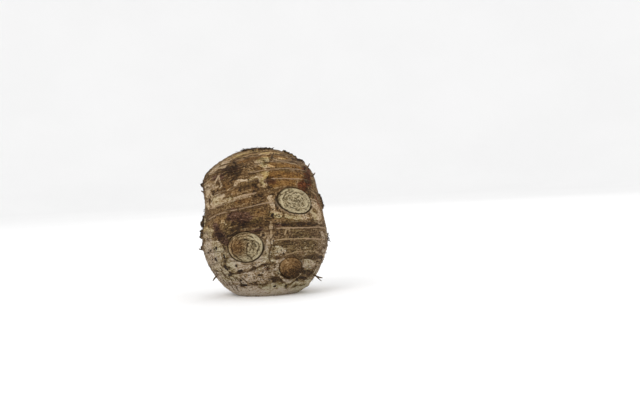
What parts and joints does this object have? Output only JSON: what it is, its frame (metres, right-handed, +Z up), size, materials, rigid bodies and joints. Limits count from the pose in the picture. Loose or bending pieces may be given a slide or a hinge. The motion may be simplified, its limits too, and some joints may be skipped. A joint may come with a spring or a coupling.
{
  "type": "taro root",
  "caption": "Whole taro corm, barrel-shaped with a low domed crown, raised leaf-scar rings, round bud scars and a flat trimmed base that it stands on.",
  "frame": {"origin": "middle of the footprint's bounding box, on the flat cut that the corm stands on", "axes": "+Z up from the cut base to the growing tip, +X to the right and -Y towards the front"},
  "size_m": [0.0906, 0.0868, 0.102],
  "materials": {
    "skin": "matt, dry, fibrous brown skin with paler scars"
  },
  "bodies": {
    "root": {"corm": "skin"}
  },
  "joints": []
}
